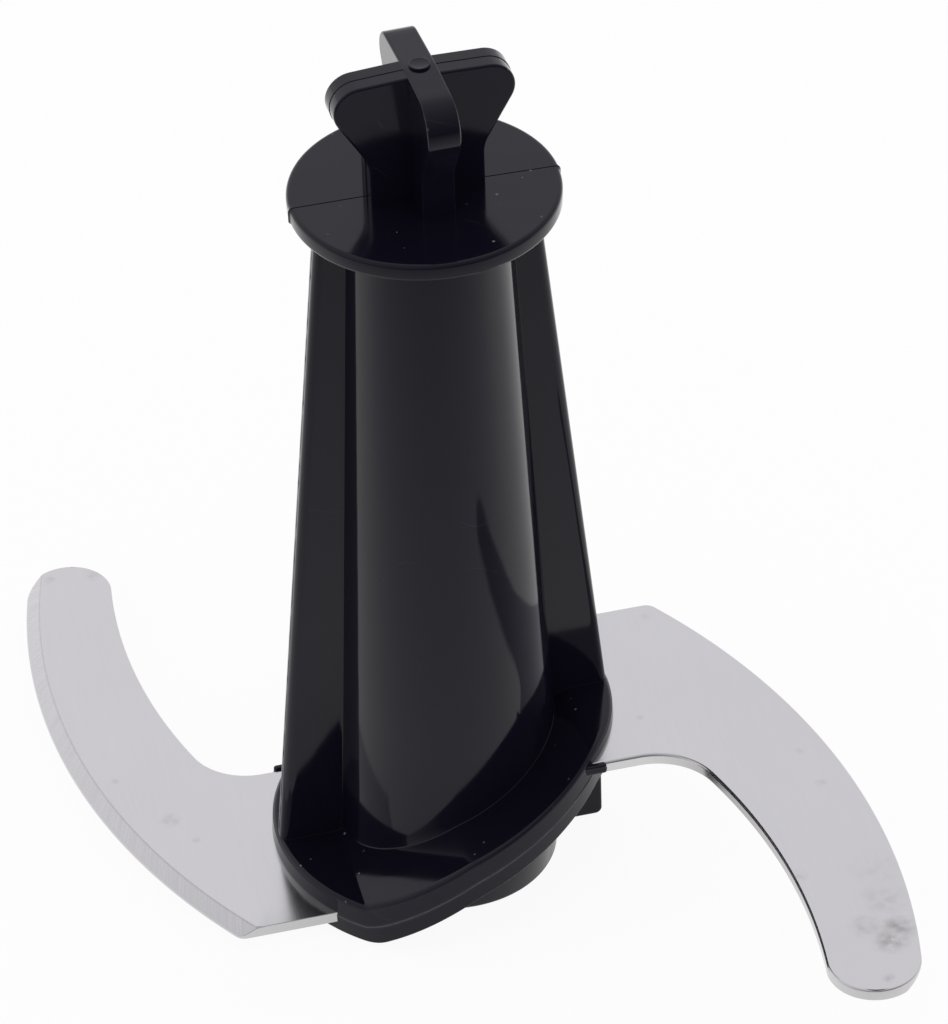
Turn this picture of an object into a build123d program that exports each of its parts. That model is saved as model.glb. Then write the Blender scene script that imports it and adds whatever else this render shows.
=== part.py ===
from build123d import *
from math import radians, sqrt, tan
import os

# A food processor blade: two sickle blades of steel moulded into one tall plastic hub.
# +Z runs up the drive axis, z = 0 is the surface that the hub stands on,
# and +X runs along the hub's wings towards the high blade.

# Blade steel
blade_thickness = 1.7
lower_blade_top = 4.2
blade_height_step = 19.0
tip_centre_x = -42.0
tip_centre_y = 64.5
tip_radius = 6.3
cutting_edge_radius = 103.8
cutting_edge_root_x = -33.6
inner_edge_radius = 89.8
inner_edge_root_x = -29.6
root_near_side = -15.3
root_far_side = 16.4
root_blend_radius = 9.0
root_corner_radius = 1.2
bevel_width = 2.1
bevel_land = 0.35

# Tangs, the ends of the blades that are moulded in
tang_end = 14.4
tang_hole_diameter = 4.0
tang_hole_reach = 18.6
tang_hole_spacing = 17.0

# Ramp plate between the two blades
plate_low_underside = 1.0
plate_thickness = 5.9
plate_rise = 18.2
ramp_foot = -16.4
ramp_angle = 32.5
ramp_knee = -2.4
upper_ramp_angle = 25.5
underside_shift = 0.8
ramp_foot_radius = 0.8
underside_foot_radius = 5.0
ramp_knee_radius = 12.0
ramp_crest_radius = 6.0
rim_overhang = 0.25
rim_edge_break = 0.25

# Outer envelope: the wings end on one cone, and the plate's rim stands out a little past it
envelope_radius = 25.2
envelope_angle = 5.38

# Cone, boss and wings
cone_foot_radius = 16.2
cone_angle = 2.67
boss_radius = 15.0
wing_thickness = 3.2
wing_edge_radius = 1.2
prop_thickness = 2.4
prop_reach = 21.9
prop_clearance = 0.6
prop_corner_radius = 1.0
prop_edge_radius = 0.6

# Disc below the grip
disc_radius = 17.95
disc_top = 112.2
disc_thickness = 2.3
disc_edge_break = 0.35

# Cross grip
grip_turn = 2.2
fin_thickness = 4.4
cross_fin_height = 18.7
cross_fin_reach = 14.7
cross_fin_crown = 0.65
cross_fin_neck_half_width = 7.75
cross_fin_neck_height = 6.2
long_fin_height = 18.8
long_fin_reach = 14.1
long_fin_crown = 0.6
long_fin_neck_half_width = 7.25
long_fin_neck_height = 6.5
fin_corner_radius = 3.6
fin_waist_radius = 5.0
fin_edge_break = 0.3
gate_button_diameter = 2.8
gate_button_rise = 0.3

# Hollow inside and the spindle sleeve
shell_wall = 2.3
roof_thickness = 3.0
sleeve_radius = 8.0
sleeve_mouth = 1.5
bore_diameter = 12.0
bore_depth = 70.0
socket_across_flats = 9.0
socket_depth = 18.0
web_thickness = 1.6

# Small moulded lugs that grip the far root corner of each blade
lug_width = 1.5
lug_reach = 2.9
lug_root = 1.0
lug_cover = 0.2
lug_bite = 0.2

# Values worked out from the sizes above
upper_blade_top = lower_blade_top + blade_height_step
envelope_slope = tan(radians(envelope_angle))
cone_slope = tan(radians(cone_angle))
ramp_slope = tan(radians(ramp_angle))
disc_underside = disc_top - disc_thickness
plate_low_top = plate_low_underside + plate_thickness
plate_high_top = plate_low_top + plate_rise
knee_rise = (ramp_knee - ramp_foot) * ramp_slope
ramp_crest = ramp_knee + (plate_rise - knee_rise) / tan(radians(upper_ramp_angle))
beyond = 2 * envelope_radius


def envelope(height):
    """Radius of the wings at a height."""
    return envelope_radius - envelope_slope * height


def cone(height):
    """Outer radius of the cone at a height."""
    return cone_foot_radius - cone_slope * height


def ramp_line(depth):
    """Points along the ramp's section, a depth below its top surface."""
    shift = underside_shift * depth / plate_thickness
    low = plate_low_top - depth
    return [
        (-beyond, low),
        (ramp_foot + shift, low),
        (ramp_knee + shift, low + knee_rise),
        (ramp_crest + shift, low + plate_rise),
        (beyond, low + plate_rise),
    ]


def arc_centre(start, from_start, end, from_end):
    """Centre at two distances from two points, on the right of the way from start to end."""
    span = end - start
    along = (span.length**2 + from_start**2 - from_end**2) / (2 * span.length)
    across = sqrt(from_start**2 - along**2)
    ahead = span.normalized()
    return start + ahead * along + ahead.rotate(Axis.Z, -90) * across


# Points of the lower blade's outline in plan
tip_centre = Vector(tip_centre_x, tip_centre_y)
cutting_root = Vector(cutting_edge_root_x, root_near_side)
inner_root = Vector(inner_edge_root_x, root_far_side)
cutting_centre = arc_centre(
    cutting_root, cutting_edge_radius, tip_centre, cutting_edge_radius - tip_radius
)
inner_centre = arc_centre(
    inner_root, inner_edge_radius, tip_centre, inner_edge_radius + tip_radius
)


def blade_sketch():
    """Outline of the lower blade with its tang, in plan."""
    outward = (tip_centre - cutting_centre).normalized() * tip_radius
    inward = (inner_centre - tip_centre).normalized() * tip_radius
    cutting_touch = tip_centre + outward
    inner_touch = tip_centre + inward
    tip_end = tip_centre + outward.rotate(Axis.Z, -90)
    with BuildSketch() as outline:
        with BuildLine():
            RadiusArc(cutting_root, cutting_touch, cutting_edge_radius)
            ThreePointArc(cutting_touch, tip_end, inner_touch)
            RadiusArc(inner_touch, inner_root, -inner_edge_radius)
            Polyline(
                inner_root,
                (-tang_end, root_far_side),
                (-tang_end, root_near_side),
                cutting_root,
            )
        make_face()
        corners = outline.vertices()
        fillet(corners.sort_by_distance(inner_root)[0], root_blend_radius)
        fillet(corners.sort_by_distance(cutting_root)[0], root_corner_radius)
        with Locations((-tang_hole_reach, 0)):
            with GridLocations(0, tang_hole_spacing, 1, 2):
                Circle(tang_hole_diameter / 2, mode=Mode.SUBTRACT)
    return outline.sketch


def bevel_section(face, edge):
    """Section that the grinding takes off, measured out from the cutting edge's centre."""
    return [
        (cutting_edge_radius - bevel_width, face),
        (cutting_edge_radius, edge),
        (cutting_edge_radius + bevel_width, edge),
        (cutting_edge_radius + bevel_width, face),
    ]


# Lower blade, ground on its upper face
lower_bottom = lower_blade_top - blade_thickness
with BuildPart() as lower_blade:
    with BuildSketch(Plane.XY.offset(lower_bottom)):
        add(blade_sketch())
    extrude(amount=blade_thickness)
    with BuildSketch(Plane(cutting_centre, x_dir=(-1, 0, 0), z_dir=(0, 1, 0))):
        with BuildLine():
            Polyline(*bevel_section(lower_blade_top, lower_bottom + bevel_land), close=True)
        make_face()
    revolve(axis=Axis(cutting_centre, (0, 0, 1)), mode=Mode.SUBTRACT)

# Upper blade, the same outline turned half a turn and ground on its lower face
upper_bottom = upper_blade_top - blade_thickness
turned_centre = cutting_centre.rotate(Axis.Z, 180)
with BuildPart() as upper_blade:
    with BuildSketch(Plane((0, 0, upper_bottom), x_dir=(-1, 0, 0), z_dir=(0, 0, 1))):
        add(blade_sketch())
    extrude(amount=blade_thickness)
    with BuildSketch(Plane(turned_centre, x_dir=(1, 0, 0), z_dir=(0, -1, 0))):
        with BuildLine():
            Polyline(*bevel_section(upper_bottom, upper_blade_top - bevel_land), close=True)
        make_face()
    revolve(axis=Axis(turned_centre, (0, 0, 1)), mode=Mode.SUBTRACT)

# The hollow that the mould's core leaves, with the sleeve and its webs standing in it
roof = disc_underside - roof_thickness
with BuildPart() as core:
    with BuildSketch(Plane.XZ):
        with BuildLine():
            Polyline(
                (0, 0),
                (boss_radius - shell_wall, 0),
                (boss_radius - shell_wall, plate_high_top),
                (cone(roof) - shell_wall, roof),
                (0, roof),
                close=True,
            )
        make_face()
    revolve(axis=Axis.Z)
    with BuildSketch(Plane.XY.offset(sleeve_mouth)):
        Circle(sleeve_radius)
        Rectangle(2 * cone_foot_radius, web_thickness)
        Rectangle(web_thickness, 2 * cone_foot_radius)
    extrude(amount=roof, mode=Mode.SUBTRACT)


def grip_fin(height, reach, crown, neck_half_width, neck_height):
    """One fin of the grip on the XZ plane, with its root inside the disc."""
    corner = (reach, height - crown)
    waist = (neck_half_width, neck_height)
    half_outline = [(0, height), corner, waist, (neck_half_width, -disc_thickness / 2)]
    left_half = [(-x, z) for x, z in reversed(half_outline[1:])]
    with BuildPart() as fin:
        with BuildSketch(Plane.XZ.offset(-fin_thickness / 2)) as side:
            with BuildLine():
                Polyline(*[(x, disc_top + z) for x, z in half_outline + left_half], close=True)
            make_face()
            for (x, z), radius in ((corner, fin_corner_radius), (waist, fin_waist_radius)):
                for turn in (-1, 1):
                    at = Vector(turn * x, disc_top + z)
                    fillet(side.vertices().sort_by_distance(at)[0], radius)
        extrude(amount=fin_thickness)
        sides = fin.faces().filter_by(Axis.Y)
        chamfer(sides.edges().filter_by(lambda edge: edge.center().Z > disc_top), fin_edge_break)
    return fin.part


# Grip: the cross fin runs nearly along the wings, and the long fin across them
cross_fin = grip_fin(
    cross_fin_height,
    cross_fin_reach,
    cross_fin_crown,
    cross_fin_neck_half_width,
    cross_fin_neck_height,
)
long_fin = grip_fin(
    long_fin_height,
    long_fin_reach,
    long_fin_crown,
    long_fin_neck_half_width,
    long_fin_neck_height,
)

# Wings above the plate
plate_low_middle = plate_low_underside + plate_thickness / 2
plate_high_middle = plate_low_middle + plate_rise
wing_top = disc_underside + disc_thickness / 2
with BuildPart() as wings:
    with BuildSketch(Plane.XZ):
        with BuildLine():
            Polyline(
                (-envelope(plate_low_middle), plate_low_middle),
                (0, plate_low_middle),
                (0, plate_high_middle),
                (envelope(plate_high_middle), plate_high_middle),
                (envelope(wing_top), wing_top),
                (-envelope(wing_top), wing_top),
                close=True,
            )
        make_face()
    extrude(amount=wing_thickness / 2, both=True)
    slanted = wings.edges().filter_by(lambda edge: abs(edge.tangent_at(0).Z) > 0.9)
    fillet(slanted.filter_by(lambda edge: abs(edge.center().X) > 1), wing_edge_radius)

# Prop below the high side of the plate, in line with the wings
with BuildPart() as prop:
    with BuildSketch(Plane.XZ) as prop_side:
        with BuildLine():
            Polyline(
                (0, prop_clearance),
                (prop_reach, prop_clearance),
                (prop_reach, plate_high_middle),
                (0, plate_high_middle),
                close=True,
            )
        make_face()
        low_corner = Vector(prop_reach, prop_clearance)
        fillet(prop_side.vertices().sort_by_distance(low_corner)[0], prop_corner_radius)
    extrude(amount=prop_thickness / 2, both=True)
    outer_edges = prop.edges().group_by(Axis.X)[-1].filter_by(Axis.Z)
    fillet(outer_edges, prop_edge_radius)

# Cone that stands on the plate
with BuildPart() as tower:
    with BuildSketch(Plane.XZ):
        with BuildLine():
            Polyline(
                (0, 0),
                (cone(0), 0),
                (cone(wing_top), wing_top),
                (0, wing_top),
                close=True,
            )
        make_face()
    revolve(axis=Axis.Z)
    with BuildSketch(Plane.XZ):
        with BuildLine():
            Polyline(*ramp_line(plate_thickness / 2), (beyond, -beyond), (-beyond, -beyond), close=True)
        make_face()
    extrude(amount=beyond, both=True, mode=Mode.SUBTRACT)

# Hub, one moulding
with BuildPart() as hub:
    # Ramp plate, cut round by the envelope
    with BuildSketch(Plane.XZ) as plate_section:
        with BuildLine():
            Polyline(*ramp_line(0), *reversed(ramp_line(plate_thickness)), close=True)
        make_face()
        top_radii = (ramp_foot_radius, ramp_knee_radius, ramp_crest_radius)
        low_radii = (underside_foot_radius, ramp_knee_radius, ramp_foot_radius)
        for depth, radii in ((0, top_radii), (plate_thickness, low_radii)):
            for at, radius in zip(ramp_line(depth)[1:4], radii):
                fillet(plate_section.vertices().sort_by_distance(Vector(*at))[0], radius)
    extrude(amount=beyond, both=True)
    with BuildSketch(Plane.XZ):
        with BuildLine():
            Polyline(
                (0, 0),
                (envelope(0) + rim_overhang, 0),
                (envelope(plate_high_top) + rim_overhang, plate_high_top),
                (0, plate_high_top),
                close=True,
            )
        make_face()
    revolve(axis=Axis.Z, mode=Mode.INTERSECT)
    chamfer(hub.edges().filter_by(GeomType.LINE, reverse=True), rim_edge_break)

    # Cone above the plate
    add(tower.part)

    # Boss below the plate
    with BuildSketch(Plane.XY):
        Circle(boss_radius)
    extrude(amount=plate_high_middle)

    # Disc below the grip
    with BuildSketch(Plane.XZ) as disc_section:
        with BuildLine():
            Polyline(
                (0, disc_underside),
                (disc_radius, disc_underside),
                (disc_radius, disc_top),
                (0, disc_top),
                close=True,
            )
        make_face()
        chamfer(disc_section.vertices().group_by(Axis.X)[-1], disc_edge_break)
    revolve(axis=Axis.Z)
    add(wings.part)
    add(prop.part)

    # Grip
    with Locations(Rotation(0, 0, grip_turn)):
        add(cross_fin)
    with Locations(Rotation(0, 0, grip_turn + 90)):
        add(long_fin)
    with BuildSketch(Plane.XY.offset(disc_top)):
        Circle(gate_button_diameter / 2)
    extrude(amount=long_fin_height + gate_button_rise)

    # Lugs at the far root corner of each blade
    for level, turn in ((lower_blade_top, 180), (upper_blade_top, 0)):
        lug_line = root_far_side + lug_width / 2 - lug_bite
        wall = sqrt((envelope(level) + rim_overhang) ** 2 - lug_line**2)
        base = level - blade_thickness - lug_cover
        with BuildSketch(Plane(origin=(0, 0, base)).rotated((0, 0, turn))) as lug:
            with Locations((wall + (lug_reach - lug_root) / 2, -lug_line)):
                Rectangle(lug_reach + lug_root, lug_width)
            fillet(lug.vertices().filter_by(lambda at: at.X > wall), lug_width / 3)
        extrude(amount=blade_thickness + 2 * lug_cover)

    # Hollow, spindle bore and drive socket
    add(core.part, mode=Mode.SUBTRACT)
    with BuildSketch(Plane.XY.offset(sleeve_mouth)):
        Circle(bore_diameter / 2)
    extrude(amount=bore_depth, mode=Mode.SUBTRACT)
    with BuildSketch(Plane.XY.offset(sleeve_mouth + bore_depth)):
        RegularPolygon(socket_across_flats / 2, 6, major_radius=False)
    extrude(amount=socket_depth, mode=Mode.SUBTRACT)

    # Slots that the tangs fill
    add(lower_blade.part, mode=Mode.SUBTRACT)
    add(upper_blade.part, mode=Mode.SUBTRACT)

hub.part.label = "hub"
lower_blade.part.label = "lower_blade"
upper_blade.part.label = "upper_blade"
os.makedirs("parts", exist_ok=True)
export_step(hub.part, "parts/hub.step")
export_step(lower_blade.part, "parts/lower_blade.step")
export_step(upper_blade.part, "parts/upper_blade.step")
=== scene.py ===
import math

import bmesh
import bpy
import numpy as np
from mathutils import Matrix, Vector


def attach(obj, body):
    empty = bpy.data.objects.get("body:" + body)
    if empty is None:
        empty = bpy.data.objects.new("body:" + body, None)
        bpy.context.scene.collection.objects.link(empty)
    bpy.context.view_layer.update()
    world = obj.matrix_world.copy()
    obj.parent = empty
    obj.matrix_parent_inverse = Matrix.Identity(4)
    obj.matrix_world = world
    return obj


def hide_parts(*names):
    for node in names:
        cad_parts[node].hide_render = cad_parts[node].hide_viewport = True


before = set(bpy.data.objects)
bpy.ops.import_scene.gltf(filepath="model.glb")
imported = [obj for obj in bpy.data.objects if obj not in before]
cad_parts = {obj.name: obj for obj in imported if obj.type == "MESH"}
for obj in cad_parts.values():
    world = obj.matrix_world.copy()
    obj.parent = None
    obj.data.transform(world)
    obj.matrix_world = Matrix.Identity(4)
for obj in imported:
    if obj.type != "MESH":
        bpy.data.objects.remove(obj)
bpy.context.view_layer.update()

# Sizes in millimetres, the same as the solids'. +Z is up the drive axis, and +X points along the
# wings towards the upper blade.
MM = 0.001

# Ramp plate: corners of its section as x and rise, the slopes between them, and the radii that
# round them on its top and on its underside
PLATE_TOP_LOW = 6.9
PLATE_THICKNESS = 5.9
RAMP_CORNERS = ((-16.4, 0.0), (-2.4, 8.919), (17.06, 18.2))
RAMP_SLOPES = tuple(math.radians(a) for a in (0.0, 32.5, 25.5, 0.0))
TOP_RADII = (0.8, 12.0, 6.0)
UNDER_RADII = (5.0, 12.0, 0.8)
UNDER_SHIFT = 0.8
RING_INNER = 13.6

# Rim and wall of the plate, with the angles in degrees between which their roundings lean
RIM_OVERHANG = 0.25
RIM_ROUND = 0.7
RIM_LEAN = (14, 84)
UNDER_ROUND = 0.18
UNDER_LEAN = (0, 80)
WALL_DRAFT = 0.3

# Mould's line on the wall and on the wings' ends. Shares are of the wall's height.
LINE_SHARE = 0.49
LINE_STEP = 0.05
FLASH = 0.05
FLASH_SHARE = 0.012
# Painted highlight along the wall's line: width and shift as shares, least amount, gain with flash
HIGHLIGHT_SHARE = 0.024
HIGHLIGHT_SHIFT = 0.004
HIGHLIGHT_LEAST = 0.55
HIGHLIGHT_BY_FLASH = 5
SEAM_WIDTH = 0.07

# Cone, wings, boss and the hollow inside. The blends lie at the tower's foot, at its top and
# between wing and cone.
ENVELOPE_RADIUS = 25.2
ENVELOPE_SLOPE = math.tan(math.radians(5.38))
CONE_RADIUS = 16.2
CONE_SLOPE = math.tan(math.radians(2.67))
WING_HALF = 1.6
WING_ROUND = 1.2
WING_GROWTH = 0.3
WING_SEAT = 0.3
ROOT_BLEND = 0.12
TOP_BLEND = 0.12
SIDE_BLEND = 0.1
BOSS_RADIUS = 15.0
WALL = 2.3
BOSS_EDGE = 0.4
BOSS_INNER_EDGE = 0.3
BOSS_GAP = 0.02
IN_PLATE = 19.9
PROP_START = 13.6
PROP_REACH = 21.9
PROP_TOP = 20.5
PROP_HALF = 1.2
PROP_CLEAR = 0.6
PROP_CORNER = 1.0
PROP_EDGE = 0.4
PROP_MIDDLE = (17.5, 10.0)
SLEEVE_RADIUS = 8.0
SLEEVE_MOUTH = 1.5
SLEEVE_EDGE = 0.3
IN_ROOF = 0.3
BORE_RADIUS = 6.0
BORE_EDGE = 0.4
BORE_DEPTH = 70.0
SOCKET_FLAT = 4.5
SOCKET_DEPTH = 18.0
WEB_START = 7.4
WEB_HALF = 0.8
WEB_EDGE = 0.2
WEB_SEAT = 0.6
WEB_BEND = 25.0
WEB_MIDDLE = (9.5, 30.0)

# Disc, and the meeting of the mould's two halves round it
DISC_RADIUS = 17.95
DISC_TOP = 112.2
DISC_BOTTOM = 109.7
DISC_EDGE = 0.6
ROOF = 106.9
HALF_STEPS = 121
HALF_SKEW = -0.0223
HALF_GAP = 0.0012
HALF_OUT = 0.05
HALF_UP = 0.07
NIB_OUT = 0.16
NIB_WIDTH = 0.3

# Grip: corners of each fin's end from the top down, as places out and up from the disc's top, each
# with the radius that rounds it
GRIP_TURN = math.radians(2.2)
FIN_HALF = 2.2
FIN_EDGE = 0.32
FIN_MIDDLE = 9.0
FIN_SEAT = -0.8
CROSS_END = ((14.7, 18.05, 3.6), (7.75, 6.2, 5.0), (7.75, FIN_SEAT, 0))
CROSS_TOP = 18.7
CROSS_LEDGE = 0.08
FAR_END = ((14.1, 18.2, 3.2), (7.25, 6.5, 5.0), (7.25, FIN_SEAT, 0))
NEAR_END = ((14.4, 18.2, 4.3), (7.25, 6.3, 5.0), (7.25, FIN_SEAT, 0))
LONG_TOP = 18.8
BUTTON_RADIUS = 1.43
BUTTON_RISE = 19.0

# Blades
BLADE_THICKNESS = 1.7
LOWER_TOP = 4.2
UPPER_TOP = 23.2
TIP_CENTRE = (-42.0, 64.5)
TIP_RADIUS = 6.3
TIP_STEPS = 26
EDGE_RADIUS = 103.8
EDGE_ROOT = (-33.6, -15.3)
BACK_RADIUS = 89.8
BACK_ROOT = (-29.6, 16.4)
BACK_BLEND = 9.0
ROOT_CORNER = 1.8
CUT_SOFT = 0.1
BACK_SOFT = 0.15
UNDER_SOFT = 0.4
TANG_END = -14.4
BEVEL_WIDTH = 2.1
BEVEL_LAND = 0.35

# Lugs beside the blades' roots: each one's top, height, side and reach past the wall
LOWER_LUG = (LOWER_TOP + 0.4, 1.8, -1, 3.2)
UPPER_LUG = (UPPER_TOP + 0.35, 1.4, 1, 2.6)
LUG_HALF = 0.55
LUG_SHIFT = 0.45
LUG_SEAT = 1.0
LUG_CORNER = 0.5
LUG_EDGE = 0.3
LUG_LEDGE = 0.06
LUG_MIDDLE = 0.8

# Distances of the rows beside a rounding, which keep the flat next to it flat to the eye, on the
# blades, the slabs and the disc, and beside a ledge
BESIDE = 0.05
SLAB_BESIDE = 0.04
DISC_BESIDE = 0.08
LEDGE_BESIDE = (0.05, 0.02)

# Rounds that settle a place whose height depends on the place itself
SETTLING = 8

# Points closer than this in metres are one, and edges shorter than the other are taken out
MERGE = 2e-7
SLIVER = 1e-8

# Angles in degrees past which an edge shows as sharp
CREASE = 50.0
BEVEL_CREASE = 22.0


def linear(code):
    """An sRGB hex colour as linear red, green, blue and alpha."""
    parts = [int(code[i : i + 2], 16) / 255 for i in (1, 3, 5)]
    return tuple(c / 12.92 if c <= 0.04045 else ((c + 0.055) / 1.055) ** 2.4 for c in parts) + (1.0,)


def skin(points, wrap_rows=False, wrap_columns=True):
    """Quads between neighbours of a grid of points, rows by columns; a wrapped side meets its start."""
    rows, columns = points.shape[:2]
    index = np.arange(rows * columns).reshape(rows, columns)
    if wrap_rows:
        index = np.vstack([index, index[:1]])
    if wrap_columns:
        index = np.hstack([index, index[:, :1]])
    corners = [index[:-1, :-1], index[:-1, 1:], index[1:, 1:], index[1:, :-1]]
    return points.reshape(-1, 3), np.stack(corners, -1).reshape(-1, 4)


def joined(*skins):
    """Several skins as one, with each one's faces numbered after the points before it."""
    starts = np.cumsum([0] + [len(points) for points, _ in skins[:-1]])
    points = np.vstack([points for points, _ in skins])
    faces = np.vstack([faces + start for (_, faces), start in zip(skins, starts)])
    return points, faces


def make_piece(name, shape, materials, node, crease=CREASE, way=None, kinds=None):
    """A closed mesh in metres from a skin in millimetres, riding on the root body. way is kept as
    an attribute for the materials, and kinds gives each face's material."""
    points, faces = shape
    mesh = bpy.data.meshes.new(name)
    mesh.from_pydata((points * MM).tolist(), [], faces.tolist())
    for material in materials:
        mesh.materials.append(material)
    if way is not None:
        mesh.attributes.new("way", "FLOAT_VECTOR", "POINT").data.foreach_set("vector", way.ravel())
    if kinds is not None:
        mesh.polygons.foreach_set("material_index", kinds)
    work = bmesh.new()
    work.from_mesh(mesh)
    bmesh.ops.remove_doubles(work, verts=work.verts, dist=MERGE)
    bmesh.ops.dissolve_degenerate(work, edges=work.edges, dist=SLIVER)
    bmesh.ops.recalc_face_normals(work, faces=work.faces)
    work.to_mesh(mesh)
    work.free()
    mesh.shade_smooth()
    mesh.set_sharp_from_angle(angle=math.radians(crease))
    made = bpy.data.objects.new(name, mesh)
    bpy.context.scene.collection.objects.link(made)
    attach(made, "root")
    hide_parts(node)


def section(below):
    """Shift along x, lowest height and fold radii of the plate's top or underside."""
    if below:
        return UNDER_SHIFT, PLATE_TOP_LOW - PLATE_THICKNESS, UNDER_RADII
    return 0.0, PLATE_TOP_LOW, TOP_RADII


def folds(below=False):
    """Arcs that round the section's corners on the plate's top or underside. Each one touches the
    straight runs on both sides, and is given as its start and end along x, its centre as x and
    height, its radius, and 1 where it is hollow or -1 where it is crowned."""
    shift, low, radii = section(below)
    found = []
    for (middle, rise), radius, before, after in zip(RAMP_CORNERS, radii, RAMP_SLOPES, RAMP_SLOPES[1:]):
        turn = math.copysign(1.0, after - before)
        reach = radius * math.tan(abs(after - before) / 2)
        first = middle + shift - reach * math.cos(before)
        last = middle + shift + reach * math.cos(after)
        start_z = low + rise - reach * math.sin(before)
        centre = (first - turn * radius * math.sin(before), start_z + turn * radius * math.cos(before))
        found.append((first, last, centre, radius, turn))
    return found


def ramp(x, below=False):
    """Height of the plate's section at x: straight runs between three corners, each corner rounded
    by its fold's arc."""
    shift, low, _ = section(below)
    at, rise = np.array(RAMP_CORNERS).T
    height = low + np.interp(x, at + shift, rise)
    for first, last, (centre_x, centre_z), radius, turn in folds(below):
        rounding = centre_z - turn * np.sqrt(np.maximum(radius**2 - (x - centre_x) ** 2, 0))
        height = np.where((x > first) & (x < last), rounding, height)
    return height


def envelope(z):
    """Radius of the wings' ends, which falls evenly with height."""
    return ENVELOPE_RADIUS - ENVELOPE_SLOPE * z


def cone(z):
    """Outer radius of the cone, which falls evenly with height."""
    return CONE_RADIUS - CONE_SLOPE * z


def inner_wall(z):
    """Radius of the hollow: straight to the plate's top, then a wall's thickness inside the cone."""
    return np.minimum(BOSS_RADIUS - WALL, cone(z) - WALL)


def flare(height, radius):
    """How far a root blend stands out at a height above its floor: a quarter circle turned inside out."""
    down = np.clip(radius - height, 0, radius)
    return radius - np.sqrt(np.maximum(radius**2 - down**2, 0))


def seam_flash(z, mirror):
    """How far the mould's line stands out along a wing's end: two waves over the height, with
    another start on each side."""
    return FLASH + 0.03 * np.sin(1.9 * z + mirror) + 0.02 * np.sin(5.3 * z)


def wing_and_cone(mirror, slope, offset):
    """Half of the section round the tower on one side of the axis, at heights of slope times the
    floor's height plus offset. From the wing's end: its flat end, a rounded edge, the flat face, a
    small hollow arc and the cone's arc. The whole section grows near the floor and the disc, and
    the mould's line stands out along the middle of the flat end as a thin bell-shaped ridge."""
    flat_end = np.array([0, 0.07, 0.15, 0.25, 0.4, 0.7])
    round_edge = np.radians(np.linspace(0, 90, 9))
    flat_face = np.linspace(0, 1, 15)[1:-1]
    hollow_arc = np.linspace(0, 1, 8)
    cone_arc = np.linspace(0, 1, 34)[1:]
    ways = [flat_end, round_edge, flat_face, hollow_arc, cone_arc]
    kind = np.repeat(np.arange(len(ways)), [len(way) for way in ways])
    way = np.concatenate(ways)
    x = CONE_RADIUS * mirror + 0 * way[None]
    for _ in range(SETTLING):
        floor = ramp(x)
        z = slope * floor + offset
        grow = flare(z - floor, ROOT_BLEND) + flare(DISC_BOTTOM - z, TOP_BLEND)
        half = WING_HALF + WING_GROWTH * grow
        body = cone(z) + grow
        # Rows that lie deep in the plate draw in, to stay inside its wall
        reach = envelope(z) - np.clip(floor - WING_SEAT - z, 0, 1)
        lean = np.arcsin((half + SIDE_BLEND) / (body + SIDE_BLEND))
        seat = (body + SIDE_BLEND) * np.cos(lean)
        edge = reach - WING_ROUND
        swing = -np.pi / 2 - (np.pi / 2 - lean) * way
        climb = lean + (np.pi / 2 - lean) * way
        seam = seam_flash(z, mirror) * np.exp(-((way * (half - WING_ROUND) / SEAM_WIDTH) ** 2))
        in_x = [
            reach + seam,
            edge + WING_ROUND * np.cos(way),
            edge + (seat - edge) * way,
            seat + SIDE_BLEND * np.cos(swing),
            body * np.cos(climb),
        ]
        in_y = [
            (half - WING_ROUND) * way,
            half - WING_ROUND + WING_ROUND * np.sin(way),
            half + 0 * way,
            half + SIDE_BLEND + SIDE_BLEND * np.sin(swing),
            body * np.sin(climb),
        ]
        x = mirror * np.choose(kind, in_x)
    return np.stack([x, np.choose(kind, in_y), z], -1)


def tower():
    """Cone and wings as one closed shell: the outside from inside the plate up into the disc, and
    back up the hollow's wall to its roof."""
    blend = ROOT_BLEND * np.array([0.0, 0.02, 0.06, 0.12, 0.2, 0.3, 0.42, 0.56, 0.75, 1.0])
    foot_rows = np.concatenate([[-4 * WING_SEAT, -WING_SEAT], blend])
    up = np.linspace(0, 1, 72)[1:-1]
    under_disc = DISC_BOTTOM - TOP_BLEND * np.array([1.0, 0.7, 0.45, 0.25, 0.1, 0.03, 0.0, -0.6])
    middle = ROOT_BLEND * (1 - up) + (DISC_BOTTOM - TOP_BLEND) * up
    slope = np.concatenate([1 + 0 * foot_rows, 1 - up, 0 * under_disc])[:, None]
    offset = np.concatenate([foot_rows, middle, under_disc])[:, None]
    right = wing_and_cone(1, slope, offset)
    left = wing_and_cone(-1, slope, offset)[:, ::-1][:, 1:]
    near = np.concatenate([right, left], 1)
    far = near[:, 1:-1][:, ::-1] * np.array([1, -1, 1])
    outside = np.concatenate([near, far], 1)
    around = np.arctan2(outside[0, :, 1], outside[0, :, 0])
    low = outside[0, :, 2]
    z = low + (ROOF - low) * np.linspace(1, 0, 12)[:, None]
    inside = np.stack([inner_wall(z) * np.cos(around), inner_wall(z) * np.sin(around), z], -1)
    roof = np.broadcast_to([0, 0, ROOF], outside[:1].shape)
    top = np.broadcast_to([0, 0, outside[-1, 0, 2]], outside[:1].shape)
    return skin(np.concatenate([roof, inside, outside, top], 0))


def flash_line(around):
    """How far the mould's line stands out round the wall: a sum of waves that never repeats soon."""
    waves = np.sin(7 * around + 1.1) * np.sin(23 * around)
    waves += 0.6 * np.sin(61 * around + 0.4) * np.sin(17 * around)
    return FLASH * (1 + np.clip(waves, -0.6, 1.6))


def rim_radius(x, below=False, pull=0.0):
    """Radius of the plate's wall over the place x, less a pull towards the axis."""
    return envelope(ramp(x, below)) + RIM_OVERHANG - pull


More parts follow.
